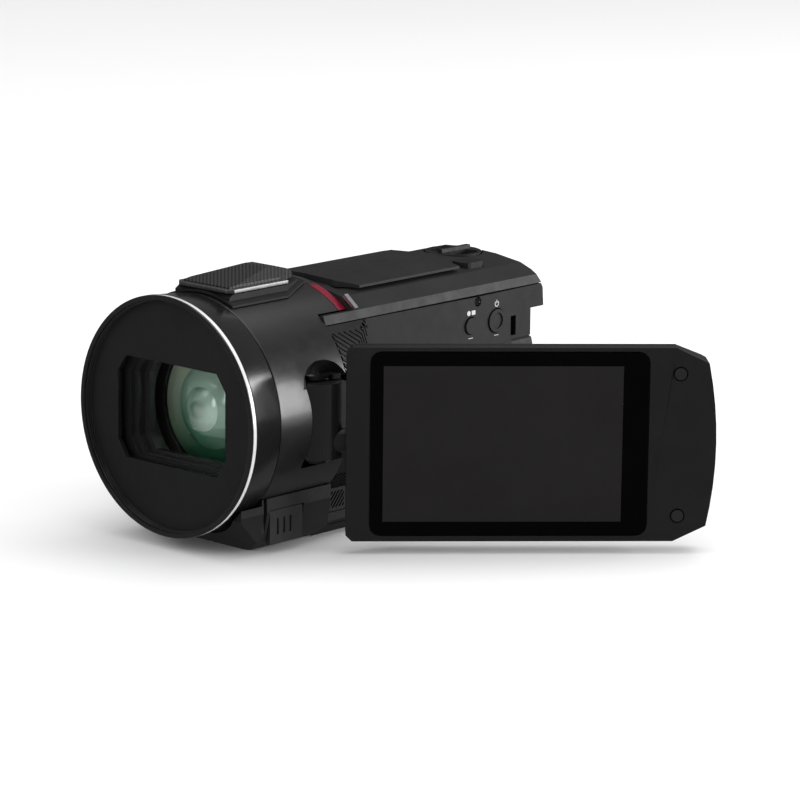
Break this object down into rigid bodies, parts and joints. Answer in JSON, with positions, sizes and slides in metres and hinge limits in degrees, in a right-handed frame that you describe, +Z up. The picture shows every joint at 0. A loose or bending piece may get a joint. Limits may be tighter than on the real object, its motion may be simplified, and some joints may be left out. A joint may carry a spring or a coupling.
{
  "type": "camcorder",
  "caption": "Compact camcorder with round filter ring, gloss lens barrel, swing-out screen, hand strap and rear battery pack.",
  "frame": {"origin": "on the flat underside of the base plate, on the lens axis's vertical plane, 60 mm behind the filter ring's front", "axes": "+Z up, -Y the way the lens looks, +X the side the screen opens on"},
  "size_m": [0.1491, 0.13, 0.0724],
  "materials": {
    "case_plastic": "fine matte black plastic",
    "gloss_barrel": "gloss black lacquer",
    "chrome_trim": "bright",
    "blade_black": "matte black",
    "lens_glass": "coated glass with a green tint",
    "screen_glass": "dark glass",
    "steel": "satin",
    "satin_trim": "satin grey",
    "crimson_trim": "gloss crimson",
    "rubber": "matte black",
    "circuit_board": "solder mask",
    "contact_gold": "plated",
    "strap_webbing": "woven black"
  },
  "bodies": {
    "camera_body": {"accent_band": "crimson_trim", "barrel_cover": "gloss_barrel", "base_plate": "case_plastic", "base_screw_1": "steel", "base_screw_2": "steel", "battery_contacts": "contact_gold", "battery_plate": "case_plastic", "card_slot": "steel", "chrome_ring": "chrome_trim", "filter_ring": "gloss_barrel", "foot_pad": "rubber", "front_foot": "case_plastic", "front_lens": "lens_glass", "front_plate": "case_plastic", "hand_strap": "strap_webbing", "hinge_bracket": "steel", "hinge_pin": "steel", "image_sensor": "screen_glass", "left_case": "case_plastic", "lens_baffle": "case_plastic", "lens_tube": "case_plastic", "main_board": "circuit_board", "mic_base": "case_plastic", "mic_grille": "steel", "mic_trim_left": "satin_trim", "mic_trim_right": "satin_trim", "rear_cover": "case_plastic", "right_case": "case_plastic", "sensor_board": "circuit_board", "silver_tip": "satin_trim", "socket_block": "steel", "speaker_grille": "case_plastic", "status_led": "lens_glass", "strap_anchor_front": "steel", "strap_anchor_rear": "steel", "strap_pad": "strap_webbing", "top_cover": "case_plastic", "top_plate": "case_plastic", "tripod_bush": "steel", "zoom_lens_group": "lens_glass"},
    "lcd_hinge": {"hinge_block": "case_plastic"},
    "lcd_panel": {"lcd_frame": "case_plastic", "lcd_back": "case_plastic", "lcd_glass": "screen_glass", "lcd_display": "screen_glass", "lcd_bumper_upper": "rubber", "lcd_bumper_lower": "rubber"},
    "zoom_rocker": {"zoom_lever": "case_plastic"},
    "photo_key": {"photo_button": "case_plastic"},
    "record_key": {"record_button": "satin_trim"},
    "mode_key": {"mode_button": "case_plastic"},
    "power_key": {"power_button": "case_plastic"},
    "card_lid": {"card_door": "case_plastic"},
    "socket_lid": {"socket_door": "rubber"},
    "battery_pack": {"battery": "case_plastic"},
    "battery_release": {"battery_latch": "satin_trim"},
    "blade_upper_rear": {"cover_blade_upper_rear": "blade_black"},
    "blade_upper_front": {"cover_blade_upper_front": "blade_black"},
    "blade_lower_rear": {"cover_blade_lower_rear": "blade_black"},
    "blade_lower_front": {"cover_blade_lower_front": "blade_black"}
  },
  "joints": [
    {"name": "lcd_open", "type": "hinge", "parent": "camera_body", "child": "lcd_hinge", "pos_m": [0.0255, -0.03, 0.0356], "axis": [0, 0, -1], "range_deg": [-45, 45]},
    {"name": "lcd_swivel", "type": "hinge", "parent": "lcd_hinge", "child": "lcd_panel", "pos_m": [0.02794, -0.03244, 0.0298], "axis": [-0.7071, -0.7071, 0], "range_deg": [0, 15]},
    {"name": "zoom_turn", "type": "hinge", "parent": "camera_body", "child": "zoom_rocker", "pos_m": [0, 0.0535, 0.065], "axis": [0, 0, 1], "range_deg": [-12, 12], "stiffness_Nm_per_rad": 0.02},
    {"name": "photo_press", "type": "slide", "parent": "camera_body", "child": "photo_key", "axis": [0, 0, -1], "range_m": [0, 0.0009], "stiffness_N_per_m": 400},
    {"name": "record_press", "type": "slide", "parent": "camera_body", "child": "record_key", "axis": [0, -1, 0], "range_m": [0, 0.0004], "stiffness_N_per_m": 500},
    {"name": "mode_press", "type": "slide", "parent": "camera_body", "child": "mode_key", "axis": [-1, 0, 0], "range_m": [0, 0.0004], "stiffness_N_per_m": 400},
    {"name": "power_press", "type": "slide", "parent": "camera_body", "child": "power_key", "axis": [-1, 0, 0], "range_m": [0, 0.0004], "stiffness_N_per_m": 400},
    {"name": "card_door_open", "type": "hinge", "parent": "camera_body", "child": "card_lid", "pos_m": [0.02145, 0.012, 0.00985], "axis": [0, 1, 0], "range_deg": [0, 80]},
    {"name": "socket_door_open", "type": "hinge", "parent": "camera_body", "child": "socket_lid", "pos_m": [0.02145, 0.036, 0.00985], "axis": [0, 1, 0], "range_deg": [0, 80]},
    {"name": "battery_slide", "type": "slide", "parent": "camera_body", "child": "battery_pack", "axis": [0, 1, 0], "range_m": [0, 0.03]},
    {"name": "battery_release_slide", "type": "slide", "parent": "camera_body", "child": "battery_release", "axis": [-1, 0, 0], "range_m": [0, 0.003], "stiffness_N_per_m": 200},
    {"name": "lens_cover", "type": "slide", "parent": "camera_body", "child": "blade_upper_rear", "axis": [0, 0, -1], "range_m": [0, 0.014]},
    {"name": "lens_cover_upper_front", "type": "slide", "parent": "camera_body", "child": "blade_upper_front", "axis": [0, 0, -1], "range_m": [0, 0.007]},
    {"name": "lens_cover_lower_rear", "type": "slide", "parent": "camera_body", "child": "blade_lower_rear", "axis": [0, 0, 1], "range_m": [0, 0.014]},
    {"name": "lens_cover_lower_front", "type": "slide", "parent": "camera_body", "child": "blade_lower_front", "axis": [0, 0, 1], "range_m": [0, 0.007]}
  ],
  "couplings": [
    {"joint": "lens_cover_upper_front", "follows": "lens_cover", "ratio": 0.5},
    {"joint": "lens_cover_lower_rear", "follows": "lens_cover", "ratio": 1},
    {"joint": "lens_cover_lower_front", "follows": "lens_cover", "ratio": 0.5}
  ]
}
